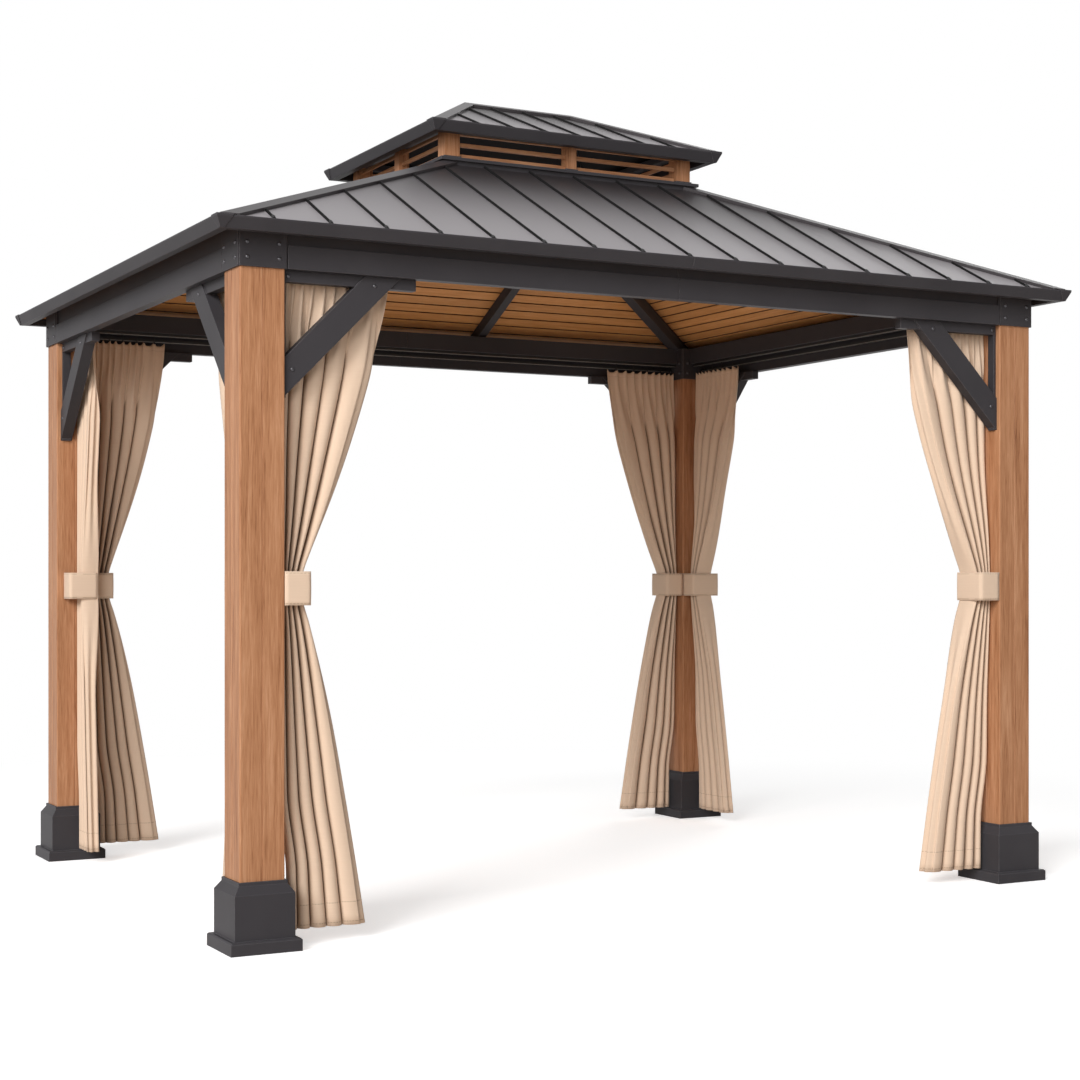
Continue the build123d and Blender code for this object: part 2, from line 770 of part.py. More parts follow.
# Curtains, two on each side, each drawn to its post
tie_low = tie_middle_height - tie_height / 2
tie_high = tie_middle_height + tie_height / 2
waist_start = tie_wall + seat_gap
head_start = bracket_wall + curtain_cover_gap
waist_end = waist_start + curtain_waist_width
hem_start = cover_box_reach + curtain_cover_gap
cover_top = cover_shoulder_top + cover_neck_height
for side in sides:
    distance = reach(side, beam_inner) + track_inset
    post_face = half_length(side, beam_outer) - bracket_half - post_width / 2 - seat_gap
    outline = [
        (head_start, clear_height),
        (head_start, curtain_top),
        (curtain_top_width, curtain_top),
        (waist_end, tie_high),
        (waist_end, tie_low),
        (curtain_hem_width, curtain_hem_height),
        (hem_start, curtain_hem_height),
        (hem_start, cover_top),
        (waist_start, tie_low),
        (waist_start, tie_high),
    ]
    for end, end_name in zip((-1, 1), sides[side][2]):
        with BuildPart() as curtain:
            with BuildSketch(face_plane(side, distance)):
                Polygon(*[(end * (post_face - across), height) for across, height in outline], align=None)
            extrude(amount=curtain_thickness / 2, both=True)
        save(curtain, f"{side}_curtain_{end_name}")

# Ties: bands round the waists of the curtains, against the posts and nearly as deep as they are
tie_width = curtain_waist_width + 2 * (tie_wall + seat_gap)
with BuildPart() as curtain_ties:
    for side in sides:
        outward, direction, _ = sides[side]
        distance = reach(side, beam_outer) - bracket_half
        post_face = half_length(side, beam_outer) - bracket_half - post_width / 2 - seat_gap
        for end in (-1, 1):
            middle = outward * distance + direction * (end * (post_face - tie_width / 2)) + up * tie_low
            with BuildSketch(Plane(middle, x_dir=direction, z_dir=up)):
                Rectangle(tie_width, tie_depth)
                Rectangle(tie_width - 2 * tie_wall, tie_depth - 2 * tie_wall, mode=Mode.SUBTRACT)
            extrude(amount=tie_height)
save(curtain_ties, "curtain_ties")
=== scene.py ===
import math
import random

import bmesh
import bpy
from mathutils import Matrix, Vector


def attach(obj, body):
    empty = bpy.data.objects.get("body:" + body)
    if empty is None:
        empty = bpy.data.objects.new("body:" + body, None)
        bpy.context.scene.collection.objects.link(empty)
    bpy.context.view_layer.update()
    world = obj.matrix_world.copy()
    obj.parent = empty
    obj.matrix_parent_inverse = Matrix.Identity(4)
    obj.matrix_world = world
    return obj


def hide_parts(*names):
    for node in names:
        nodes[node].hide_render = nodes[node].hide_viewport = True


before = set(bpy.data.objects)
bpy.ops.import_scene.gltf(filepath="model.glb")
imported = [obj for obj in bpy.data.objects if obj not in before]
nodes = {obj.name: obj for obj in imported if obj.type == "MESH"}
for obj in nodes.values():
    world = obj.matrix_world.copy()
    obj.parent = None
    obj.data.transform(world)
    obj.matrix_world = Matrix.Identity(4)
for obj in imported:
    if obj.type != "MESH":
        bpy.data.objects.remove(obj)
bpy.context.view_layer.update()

# Posts: square aluminium tubes with a printed wood-grain film baked on, two boards to a face
# with a seam groove between them. Each stands on a welded foot plate under its base cover.
post_middle = (1.56, 1.165)
post_grain = (1.0, 1.0, 0.045)
post_band = 0.030
next_board = (0.37, 0.53, 0.0)
wood_stops = [(0.33, "#7c4f33"), (0.43, "#a5724f"), (0.54, "#b6835f"), (0.67, "#c89774")]


def tint(code):
    """Linear colour of an sRGB hex value."""
    parts = [int(code[place:place + 2], 16) / 255 for place in (1, 3, 5)]
    return [part / 12.92 if part <= 0.04045 else ((part + 0.055) / 1.055) ** 2.4
            for part in parts] + [1.0]


def wire(tree, kind, inputs=None, take=0, stops=(), **settings):
    """Adds a node with its settings and colour stops, fills its inputs, and gives an output."""
    made = tree.nodes.new(kind)
    for name, value in settings.items():
        setattr(made, name, value)
    for socket, value in (inputs or {}).items():
        if isinstance(value, bpy.types.NodeSocket):
            tree.links.new(value, made.inputs[socket])
        else:
            made.inputs[socket].default_value = value
    for number, (place, code) in enumerate(stops):
        if number > 1:
            made.color_ramp.elements.new(place)
        made.color_ramp.elements[number].position = place
        made.color_ramp.elements[number].color = tint(code)
    return made.outputs if take is None else made.outputs[take] if made.outputs else made


def start_material(name):
    """An empty node material, and its node tree."""
    material = bpy.data.materials.new(name)
    material.use_nodes = True
    material.node_tree.nodes.clear()
    return material, material.node_tree


def grain(tree, vector, along, across, stops):
    """Printed wood: broad bands and fine pores stretched along the board, as colour and pores."""
    drawn = wire(tree, "ShaderNodeVectorMath", {0: vector, 1: along}, operation="MULTIPLY")
    bands = wire(tree, "ShaderNodeTexNoise",
                 {"Vector": drawn, "Scale": 1 / across, "Detail": 3.0, "Roughness": 0.55,
                  "Distortion": 0.9})
    pores = wire(tree, "ShaderNodeTexNoise",
                 {"Vector": drawn, "Scale": 7 / across, "Detail": 4.0, "Roughness": 0.65,
                  "Distortion": 0.25})
    mixed = wire(tree, "ShaderNodeMix", {"Factor": 0.5, "A": bands, "B": pores})
    return wire(tree, "ShaderNodeValToRGB", {"Fac": mixed}, stops=stops), pores


# Printed film under a clear coat: soft bands of brown, fine darker pores, and a low satin sheen.
post_coat, tree = start_material("wood_grain_film_on_aluminium")
place = wire(tree, "ShaderNodeTexCoord", take="Object")
size = wire(tree, "ShaderNodeVectorMath", {0: place}, operation="ABSOLUTE")
# Beyond the middle of a post is another board, with its grain from elsewhere in the print.
past = wire(tree, "ShaderNodeVectorMath",
            {0: size, 1: (post_middle[0] - 1, post_middle[1] - 1, 0)}, operation="SUBTRACT")
half = wire(tree, "ShaderNodeVectorMath", {0: past}, operation="FLOOR")
moved = wire(tree, "ShaderNodeVectorMath", {0: half, 1: next_board}, operation="MULTIPLY")
board = wire(tree, "ShaderNodeVectorMath", {0: place, 1: moved}, operation="ADD")
colour, pores = grain(tree, board, post_grain, post_band, wood_stops)
relief = wire(tree, "ShaderNodeBump", {"Strength": 0.12, "Distance": 0.0006, "Height": pores})
film = wire(tree, "ShaderNodeBsdfPrincipled",
            {"Base Color": colour, "Roughness": 0.5, "Specular IOR Level": 0.22,
             "Normal": relief})
wire(tree, "ShaderNodeOutputMaterial", {"Surface": film})
for corner in ("front_left", "front_right", "back_left", "back_right"):
    nodes["post_" + corner].data.materials[0] = post_coat

# Base covers, corner brackets, beams, braces, rafters, gutters and the cupola's frame: folded
# steel and extruded aluminium in one charcoal powder coat, bolted together at the corners.
charcoal_nodes = [name for name in nodes
                  if name.startswith("base_cover_") or name.endswith(("_beam", "_gutter"))]
charcoal_nodes += ["corner_brackets", "corner_braces", "gutter_corner_covers", "hip_rafters",
                   "long_side_rafters", "cupola_curb", "cupola_top_frame", "cupola_gutter",
                   "cupola_corner_covers"]
# Powder coat: dark and nearly matt, with a faint orange peel, and its edges painted paler as a
# highlight.
charcoal, tree = start_material("charcoal_powder_coat")
place = wire(tree, "ShaderNodeTexCoord", take="Object")
cloud = wire(tree, "ShaderNodeTexNoise", {"Vector": place, "Scale": 3.0, "Detail": 3.0})
# The peel is drawn at 2 mm, where the real one is under 1 mm, so that it shows from here.
peel = wire(tree, "ShaderNodeTexNoise", {"Vector": place, "Scale": 450.0, "Detail": 1.0})
colour = wire(tree, "ShaderNodeValToRGB", {"Fac": cloud},
              stops=[(0.3, "#3b393c"), (0.7, "#424043")])
edge = wire(tree, "ShaderNodeBevel", {"Radius": 0.0030}, samples=4)
flat = wire(tree, "ShaderNodeNewGeometry", take="Normal")
even = wire(tree, "ShaderNodeVectorMath", {0: edge, 1: flat}, take="Value",
            operation="DOT_PRODUCT")
# Painted highlight: the coat is coloured paler along its edges.
painted_edge_highlight = wire(tree, "ShaderNodeMapRange",
            {"Value": even, "From Min": 0.98, "From Max": 0.80, "To Min": 0.0, "To Max": 0.7})
colour = wire(tree, "ShaderNodeMix", {"Factor": painted_edge_highlight, 6: colour, 7: tint("#7a777a")},
              take=2, data_type="RGBA")
relief = wire(tree, "ShaderNodeBump",
              {"Strength": 0.08, "Distance": 0.0004, "Height": peel, "Normal": edge})
coat = wire(tree, "ShaderNodeBsdfPrincipled",
            {"Base Color": colour, "Roughness": 0.5, "Specular IOR Level": 0.1,
             "Normal": relief})
wire(tree, "ShaderNodeOutputMaterial", {"Surface": coat})
for name in charcoal_nodes:
    nodes[name].data.materials[0] = charcoal

# Bolts: zinc-plated button heads with a socket, four on each face of a corner bracket into the
# post inside it, and single ones through each brace's rail, foot and top.
bracket_bottom = 2.185
bracket_half = 0.0838
bolt_rows = (0.030, 0.078)
bolt_out = 0.054
bolt_line = [(0.0, 0.0016), (0.0026, 0.0016), (0.0030, 0.0044), (0.0052, 0.0036),
             (0.0068, 0.0014), (0.0070, 0.0)]
post_face = (1.4837, 1.0887)
brace_line = (1.5968, 1.2018)
brace_half = 0.023
rail_half = 0.017
# In from the post, up from the floor, and out from the brace's middle line.
brace_bolts = ((0.019, 2.1667, rail_half), (0.030, 1.8667, brace_half),
               (0.318, 2.1547, brace_half))
# Each side's way out, and its way along from its left to its right as seen from outside.
sides = {
    "front": (Vector((0, -1, 0)), Vector((1, 0, 0))),
    "right": (Vector((1, 0, 0)), Vector((0, 1, 0))),
    "back": (Vector((0, 1, 0)), Vector((-1, 0, 0))),
    "left": (Vector((-1, 0, 0)), Vector((0, -1, 0))),
}


def reach(side, pair):
    """Distance from the middle out to a side."""
    return pair[1] if side in ("front", "back") else pair[0]


def run(side, pair):
    """Half length of a side."""
    return pair[0] if side in ("front", "back") else pair[1]


def add_piece(name, bm, material, sharp=35):
    """Makes the object of a new piece, which rides on the frame."""
    mesh = bpy.data.meshes.new(name)
    bm.to_mesh(mesh)
    bm.free()
    mesh.shade_smooth()
    mesh.set_sharp_from_angle(angle=math.radians(sharp))
    mesh.materials.append(material)
    piece = bpy.data.objects.new(name, mesh)
    bpy.context.scene.collection.objects.link(piece)
    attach(piece, "root")
    return piece


def turned_shape(name, line, steps):
    """A shape turned about the upright from a line of radius and height pairs."""
    bm = bmesh.new()
    corners = [bm.verts.new((out, 0, up)) for out, up in line]
    edges = [bm.edges.new(pair) for pair in zip(corners, corners[1:])]
    bmesh.ops.spin(bm, geom=corners + edges, cent=(0, 0, 0), axis=(0, 0, 1), angle=math.tau,
                   steps=steps, use_merge=True)
    bmesh.ops.remove_doubles(bm, verts=bm.verts, dist=1e-6)
    bmesh.ops.recalc_face_normals(bm, faces=bm.faces)
    mesh = bpy.data.meshes.new(name)
    bm.to_mesh(mesh)
    bm.free()
    return mesh


def add_copies(bm, pattern, places):
    """Adds one copy of a pattern at each place."""
    for place in places:
        start = len(bm.verts)
        bm.from_mesh(pattern)
        bm.verts.ensure_lookup_table()
        bmesh.ops.transform(bm, matrix=place, verts=bm.verts[start:])


def facing(point, outward):
    """The place at a point where a turned shape's upright looks outward."""
    return Matrix.Translation(point) @ outward.to_track_quat("Z", "Y").to_matrix().to_4x4()


bolt_places = []
for side, (outward, along) in sides.items():
    middle = reach(side, post_middle)
    for sign in (-1, 1):
        for across in (-bolt_out, bolt_out):
            for row in bolt_rows:
                spot = along * (sign * run(side, post_middle) + across)
                spot += Vector((0, 0, bracket_bottom + row))
                for face, look in ((bracket_half, outward), (-bracket_half, -outward)):
                    bolt_places.append(facing(spot + outward * (middle + face), look))
        for inward, height, half in brace_bolts:
            spot = along * (sign * (run(side, post_face) - inward)) + Vector((0, 0, height))
            spot += outward * (reach(side, brace_line) + half)
            bolt_places.append(facing(spot, outward))
bm = bmesh.new()
add_copies(bm, turned_shape("bolt_head_pattern", bolt_line, 10), bolt_places)
# Zinc plating that has been blackened: a dark metal with a broken, slightly cloudy shine.
black_zinc, tree = start_material("black_zinc")
place = wire(tree, "ShaderNodeTexCoord", take="Object")
cloud = wire(tree, "ShaderNodeTexNoise", {"Vector": place, "Scale": 900.0, "Detail": 2.0})
rough = wire(tree, "ShaderNodeMapRange", {"Value": cloud, "To Min": 0.25, "To Max": 0.45})
plating = wire(tree, "ShaderNodeBsdfPrincipled",
               {"Base Color": tint("#5c5a5d"), "Metallic": 0.8, "Roughness": rough})
wire(tree, "ShaderNodeOutputMaterial", {"Surface": plating})
add_piece("bolts", bm, black_zinc)

# Curtain tracks: two slotted aluminium rails behind each fascia, the inner one screwed up under
# the beam's box and the outer one lower down. Along their lips runs a painted highlight.
track_lips = (2.2482, 2.2272)
lip_half = 0.0012
# Dark bronze anodising: a brown-black, dull metal shine, with a pale painted highlight along each
# lip.
track_metal, tree = start_material("anodised_aluminium_track")
place = wire(tree, "ShaderNodeTexCoord", take="Object")
height = wire(tree, "ShaderNodeSeparateXYZ", {0: place}, take="Z")
lines = wire(tree, "ShaderNodeTexNoise", {"Vector": place, "Scale": 300.0, "Detail": 2.0})
rough = wire(tree, "ShaderNodeMapRange", {"Value": lines, "To Min": 0.32, "To Max": 0.5})
# Painted highlight: a pale line at the height of each lip.
painted_glint_lines = [wire(tree, "ShaderNodeMath", {0: height, 1: lip, 2: lip_half}, operation="COMPARE")
        for lip in track_lips]
lip = wire(tree, "ShaderNodeMath", {0: painted_glint_lines[0], 1: painted_glint_lines[1]}, operation="MAXIMUM")
colour = wire(tree, "ShaderNodeMix", {"Factor": lip, 6: tint("#2c2927"), 7: tint("#9c9996")},
              take=2, data_type="RGBA")
metal = wire(tree, "ShaderNodeBsdfPrincipled",
             {"Base Color": colour, "Metallic": 0.5, "Roughness": rough})
wire(tree, "ShaderNodeOutputMaterial", {"Surface": metal})
nodes["curtain_tracks"].data.materials[0] = track_metal

# Curtains: woven polyester panels, pinch pleated at the head and drawn in by a tie, two on each
# side. The pleats fall into a few broad folds with deep gaps, which widen again below the tie.
side_ends = {"front": ("left", "right"), "right": ("front", "back"),
             "back": ("right", "left"), "left": ("back", "front")}
curtain_line = (1.5488, 1.1538)
curtain_flat = (0.68, 2.16)
curtain_thickness = 0.0014
curtain_steps = (108, 76)
curtain_stitches = [0.010, 0.062, curtain_flat[1] - 0.055]
cloth_top, cloth_foot = 2.206, 0.050
tie_low, tie_middle, tie_high = 1.105, 1.16, 1.215
brace_foot = 1.74
head_width, waist_width, hem_width = 0.398, 0.086, 0.308
# Widths at head and hem of the two curtains at the back left post, which are drawn further in.
drawn_in = {("left", -1): (0.240, 0.190), ("back", 1): (0.335, 0.308)}
# How quickly the free edge comes in above the tie, and goes out again below it.
upper_sweep, lower_sweep = 1.45, 0.76
# Gaps to the post, and further ones to the bracket above and the base cover below.
post_gap, bracket_gap, cover_gap = 0.006, 0.009, 0.030
fold_shares = (0.75, 0.85, 1.00, 1.20, 1.60)
fold_count = len(fold_shares)
# Half depths of the folds hanging free and in the tie. The curtains of the left side lie flatter.
fold_depths, left_depths = (0.025, 0.040), (0.020, 0.031)
head_depth = 0.009
header_drop = (0.03, 0.36)
crest_round = 0.62
hood_share = 0.17
edge_wave = 0.007
ruffle = 0.012
# How far the cloth stands out of its line: hanging free, behind a brace, and on the left side, with
# more in the tie and less at the head.
free_stand, brace_stand, left_stand = 0.030, 0.018, 0.004
tie_stand, head_stand = 0.012, 0.008


def ease(value, low, high):
    """Smooth step from 0 at low to 1 at high."""
    share = min(max((value - low) / (high - low), 0.0), 1.0)
    return share * share * (3 - 2 * share)


def fabric(name, stitches):
    """Woven polyester: crossing threads, faint slubs, a soft sheen, rows of stitches, and painted
    shade in the folds.
    """
    material, tree = start_material(name)
    cloth = wire(tree, "ShaderNodeUVMap", uv_map="cloth")
    axes = wire(tree, "ShaderNodeSeparateXYZ", {0: cloth}, take=None)
    # Threads are drawn at 1.5 mm, where real ones are about 0.5 mm, so that they show from here.
    warp, weft = [wire(tree, "ShaderNodeTexWave",
                       {"Vector": cloth, "Scale": 210.0, "Distortion": 0.4, "Detail": 1.0},
                       take="Fac", bands_direction=way) for way in ("X", "Y")]
    drawn = wire(tree, "ShaderNodeVectorMath", {0: cloth, 1: (9.0, 420.0, 1.0)},
                 operation="MULTIPLY")
    slubs = wire(tree, "ShaderNodeTexNoise", {"Vector": drawn, "Scale": 1.0, "Detail": 3.0})
    colour = wire(tree, "ShaderNodeValToRGB", {"Fac": slubs},
                  stops=[(0.25, "#e1c7af"), (0.5, "#e3c9b1"), (0.75, "#e5ccb4")])
    # Painted shade: the bottoms of the folds, where little light reaches, are coloured brown.
    open_air = wire(tree, "ShaderNodeAmbientOcclusion", {"Distance": 0.09}, take="AO",
                    samples=8, only_local=True)
    painted_fold_light = wire(tree, "ShaderNodeMapRange",
               {"Value": open_air, "From Min": 0.10, "From Max": 0.70, "To Min": 0.10})
    colour = wire(tree, "ShaderNodeMix", {"Factor": painted_fold_light, 6: tint("#7a5a3e"), 7: colour},
                  take=2, data_type="RGBA")
    sewn = wire(tree, "ShaderNodeMath", {0: axes["X"], 1: 0.006}, operation="PINGPONG")
    sewn = wire(tree, "ShaderNodeMath", {0: sewn, 1: 0.0018}, operation="GREATER_THAN")
    rows = 0.0
    for height in stitches:
        near = wire(tree, "ShaderNodeMath", {0: axes["Y"], 1: height, 2: 0.0011},
                    operation="COMPARE")
        rows = wire(tree, "ShaderNodeMath", {0: near, 1: rows}, operation="MAXIMUM")
    sewn = wire(tree, "ShaderNodeMath", {0: sewn, 1: rows}, operation="MULTIPLY")
    share = wire(tree, "ShaderNodeMath", {0: sewn, 1: 0.6}, operation="MULTIPLY")
    colour = wire(tree, "ShaderNodeMix", {"Factor": share, 6: colour, 7: tint("#a58a6c")},
                  take=2, data_type="RGBA")
    threads = wire(tree, "ShaderNodeMath", {0: warp, 1: weft}, operation="MULTIPLY")
    threads = wire(tree, "ShaderNodeMath", {0: threads, 1: sewn}, operation="SUBTRACT")
    relief = wire(tree, "ShaderNodeBump",
                  {"Strength": 0.08, "Distance": 0.0004, "Height": threads})
    weave = wire(tree, "ShaderNodeBsdfPrincipled",
                 {"Base Color": colour, "Roughness": 0.85, "Sheen Weight": 0.2,
                  "Sheen Roughness": 0.5, "Specular IOR Level": 0.2, "Normal": relief})
    wire(tree, "ShaderNodeOutputMaterial", {"Surface": weave})
    return material


def cloth_piece(name, across, down, flat, place, material, thickness, closed=False):
    """A sheet of cloth laid out flat and then set in place point by point."""
    bm = bmesh.new()
    chart = bm.loops.layers.uv.new("cloth")
    bmesh.ops.create_grid(bm, x_segments=across, y_segments=down, size=0.5, calc_uvs=True)
    for face in bm.faces:
        for loop in face.loops:
            loop[chart].uv = (loop[chart].uv[0] * flat[0], loop[chart].uv[1] * flat[1])
    for vert in bm.verts:
        vert.co = place(vert.co.x + 0.5, 0.5 - vert.co.y)
    if closed:
        bmesh.ops.remove_doubles(bm, verts=bm.verts, dist=1e-5)
        bmesh.ops.recalc_face_normals(bm, faces=bm.faces)
    piece = add_piece(name, bm, material, sharp=180)
    body = piece.modifiers.new("thickness", "SOLIDIFY")
    body.thickness = thickness
    body.offset = 0.0
    return piece


def hang_curtain(side, sign, seed):
    """Where each point of a curtain hangs, and the middles of its pleats."""
    outward, along = sides[side]
    dice = random.Random(seed)
    widths = [share * dice.uniform(0.85, 1.15) for share in fold_shares]
    starts = [sum(widths[:fold]) / sum(widths) for fold in range(fold_count + 1)]
    depths = [dice.uniform(0.75, 1.15) for fold in range(fold_count + 1)]
    leans = [dice.uniform(-0.35, 0.35) for fold in range(fold_count + 1)]
    # The folds' rounded faces are outside at the front and left, inside at the back and right.
    turned = -1 if side in ("back", "right") else 1
    free_depth, waist_depth = left_depths if side == "left" else fold_depths
    head, hem = drawn_in.get((side, sign), (head_width, hem_width))

    def place(u, t):
        # The rows of points lie closer together at the head, where the cloth is gathered.
        t = t ** 1.25
        z = cloth_top + (cloth_foot - cloth_top) * t
        if z > tie_high:
            drop = (cloth_top - z) / (cloth_top - tie_high)
            free = waist_width + (head - waist_width) * (1 - drop ** upper_sweep)
        elif z > tie_low:
            free = waist_width
        else:
            drop = (tie_low - z) / (tie_low - cloth_foot)
            free = waist_width + (hem - waist_width) * drop ** lower_sweep
        by_bracket = ease(z, 2.0, 2.17)
        by_cover = 1 - ease(z, 0.23, 0.5)
        post_edge = post_gap + bracket_gap * by_bracket + cover_gap * by_cover
        fold = min(sum(u >= start for start in starts) - 1, fold_count - 1)
        part = (u - starts[fold]) / (starts[fold + 1] - starts[fold])
        lean = leans[fold] * math.sin(math.pi * part) * math.sin(5 * t + fold)
        phase = math.tau * (fold + part) + math.pi + lean
        crest = 0.5 + 0.5 * math.cos(phase)
        header = 1 - ease(cloth_top - z, *header_drop)
        gather = (0.5 + 0.5 * math.cos(2 * phase)) ** 3
        shape = (2 * crest ** crest_round - 1) * (1 - header) + (1.6 * gather - 1) * header
        near_tie = 1 - ease(abs(z - tie_middle), 0.05, 0.50)
        deep = head_depth * header + free_depth * (1 - header)
        deep += (waist_depth - deep) * near_tie
        deep *= depths[fold] * (1 - part) + depths[fold + 1] * part
        deep *= 0.65 + 0.35 * ease(u, 0.0, 0.2)
        stand = free_stand + (brace_stand - free_stand) * ease(z, 1.3, brace_foot)
        stand = stand + tie_stand * near_tie - head_stand * header
        stand = left_stand if side == "left" else stand
        # A fold's rounded face swells over the gaps beside it, apart from the cloth's two edges.
        pitch = (free - post_edge) * (starts[fold + 1] - starts[fold])
        hood = hood_share * (1 - header) * math.sin(phase)
        hood = hood * ease(u, 0, 0.05) * (1 - ease(u, 0.95, 1))
        s = post_edge + (free - post_edge) * u + hood * pitch
        # The hem of the free edge hangs in a few small waves of its own.
        wave = max(part - 0.5, 0.0) * 2 if fold == fold_count - 1 else 0.0
        s += edge_wave * math.sin(2.5 * math.tau * wave) * (1 - header) * (1 - near_tie)
        spot = along * (sign * (run(side, post_face) - s))
        spot += outward * (reach(side, curtain_line) + stand - deep + turned * deep * shape)
        spot.z = z + ruffle * gather * (1 - ease(cloth_top - z, 0.0, 0.03))
        return spot

    return place, [(first + last) / 2 for first, last in zip(starts, starts[1:])]


curtain_cloth = fabric("woven_polyester", curtain_stitches)
glider_places = []
for number, (side, ends) in enumerate(side_ends.items()):
    for sign, end in zip((-1, 1), ends):
        name = f"{side}_curtain_{end}"
        place, pleats = hang_curtain(side, sign, 11 * number + sign)
        piece = cloth_piece(name + "_cloth", *curtain_steps, curtain_flat, place, curtain_cloth,
                            curtain_thickness)
        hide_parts(name)
        for pleat in pleats:
            spot = place(pleat, 0.0)
            glider_places.append(Matrix.Translation((spot.x, spot.y, 0.0)))

# Gliders: moulded nylon runners, one over each pleat, with a head in the track's slot and an eye
# that is sewn to the top of the cloth.
glider_line = [(0.0, 2.2480), (0.0030, 2.2478), (0.0030, 2.2440), (0.0012, 2.2425),
               (0.0012, 2.2290), (0.0030, 2.2250), (0.0030, 2.2150), (0.0, 2.2120)]
bm = bmesh.new()
add_copies(bm, turned_shape("glider_pattern", glider_line, 6), glider_places)
# Nylon: nearly black, with the dull gloss of plastic.
nylon, tree = start_material("moulded_nylon")
place = wire(tree, "ShaderNodeTexCoord", take="Object")
cloud = wire(tree, "ShaderNodeTexNoise", {"Vector": place, "Scale": 700.0, "Detail": 1.0})
colour = wire(tree, "ShaderNodeValToRGB", {"Fac": cloud},
              stops=[(0.3, "#1c1918"), (0.7, "#2a2624")])
moulded = wire(tree, "ShaderNodeBsdfPrincipled", {"Base Color": colour, "Roughness": 0.45})
wire(tree, "ShaderNodeOutputMaterial", {"Surface": moulded})
add_piece("curtain_gliders", bm, nylon)

# Ties: hemmed bands of the same cloth that loop round the waists of the curtains and are hooked
# to the posts, flush with the posts' faces.
tie_reach = 0.0925
tie_half = 0.0742
left_tie_half = 0.046
tie_round = 0.014
tie_start = 0.0012
tie_flat = (0.44, 0.110)
tie_thickness = 0.0022
tie_puff = 0.0008
straight_steps = 6
corner_steps = 8


def loop_path(outer, inner):
    """Points round a tie in plan, from the post round the free end and back, as along and out."""
    straight = tie_reach - tie_round
    path = [(tie_start + (straight - tie_start) * step / straight_steps, outer)
            for step in range(straight_steps + 1)]
    for centre, start in ((outer - tie_round, 90), (inner + tie_round, 0)):
        for step in range(0 if start == 0 else 1, corner_steps + 1):
            turn = math.radians(start - 90 * step / corner_steps)
            path.append((straight + tie_round * math.cos(turn),
                         centre + tie_round * math.sin(turn)))
    path += [(straight + (tie_start - straight) * step / straight_steps, inner)
             for step in range(1, straight_steps + 1)]
    path += [(tie_start, inner + (outer - inner) * step / straight_steps)
             for step in range(1, straight_steps + 1)]
    return path


def wrap_tie(side, sign, path):
    """Where each point of a tie lies."""
    outward, along = sides[side]

    def place(u, t):
        s, out = path[round(u * (len(path) - 1))]
        puff = tie_puff * math.sin(math.pi * t) * (1 if s > 0.01 else 0)
        spot = along * (sign * (run(side, post_face) - s - puff))
        spot += outward * (reach(side, post_middle) + out * (1 + 0.6 * puff / tie_half))
        spot.z = tie_high + (tie_low - tie_high) * t
        return spot

    return place


tie_cloth = fabric("woven_polyester_band", [0.006, tie_flat[1] - 0.006])
for side, ends in side_ends.items():
    path = loop_path(left_tie_half if side == "left" else tie_half, -tie_half)
    for sign, end in zip((-1, 1), ends):
        piece = cloth_piece(f"{side}_tie_{end}", len(path) - 1, 8, tie_flat,
                            wrap_tie(side, sign, path), tie_cloth, tie_thickness, closed=True)
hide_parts("curtain_ties")

# Ceiling: planks in wood-look board, laid along the eaves under each slope with open shadow
# joints and mitred at the hips. Their lower edges are eased.
board_pitch = 0.065
board_joint = 0.009
board_thickness = 0.012
board_ease = 0.0015
narrowest_board = 0.01
edge_gap = 0.012
head_gap = 0.0003
# Value given to the plank sides: painted shade in the joints.
joint_painted_shade = 0.15
eave = (1.7338, 1.3388)
roof_head = (0.56, 0.465)
eave_height = 2.31762
roof_rise = 0.444
ceiling_depth = 0.0153
bm = bmesh.new()
chart = bm.loops.layers.uv.new("board")
shade = bm.faces.layers.float.new("shade")
dice = random.Random(5)
for side, (outward, along) in sides.items():
    angle = math.atan2(roof_rise, reach(side, eave) - reach(side, roof_head))
    length = (reach(side, eave) - reach(side, roof_head)) / math.cos(angle)
    narrowing = (run(side, eave) - run(side, roof_head)) / length
    half = run(side, eave) - edge_gap * math.hypot(1, narrowing)
    top = length - (head_gap + ceiling_depth * math.sin(angle)) / math.cos(angle)
    upward = -outward * math.cos(angle) + Vector((0, 0, math.sin(angle)))
    normal = outward * math.sin(angle) + Vector((0, 0, math.cos(angle)))
    origin = outward * reach(side, eave) + Vector((0, 0, eave_height))
    origin -= normal * (ceiling_depth - board_thickness)
    low = edge_gap
    while low < top - narrowest_board:
        high = min(low + board_pitch - board_joint, top)
        quad = [(-half + low * narrowing, low), (half - low * narrowing, low),
                (half - high * narrowing, high), (-half + high * narrowing, high)]
        face = bm.faces.new([bm.verts.new(origin + along * across + upward * rise)
                             for across, rise in quad])
        made = bmesh.ops.extrude_face_region(bm, geom=[face])["geom"]
        under = [item for item in made if isinstance(item, bmesh.types.BMFace)][0]
        bmesh.ops.translate(bm, verts=under.verts[:], vec=-normal * board_thickness)
        lengthways = [item for item in under.edges
                      if abs((item.verts[0].co - item.verts[1].co).normalized().dot(along)) > 0.9]
        bmesh.ops.bevel(bm, geom=lengthways, offset=board_ease, affect="EDGES", segments=1,
                        profile=0.5, material=-1)
        tone = dice.uniform(0.88, 1.08)
        slip = dice.uniform(0, 9)
        # Faces without a shade yet are those of this board.
        for item in bm.faces:
            if item[shade] == 0:
                item.normal_update()
                item[shade] = tone if abs(item.normal.dot(normal)) > 0.3 else joint_painted_shade
                for loop in item.loops:
                    loop[chart].uv = (loop.vert.co.dot(along) + slip,
                                      (loop.vert.co - origin).dot(upward) + slip)
        low += board_pitch
bmesh.ops.recalc_face_normals(bm, faces=bm.faces)
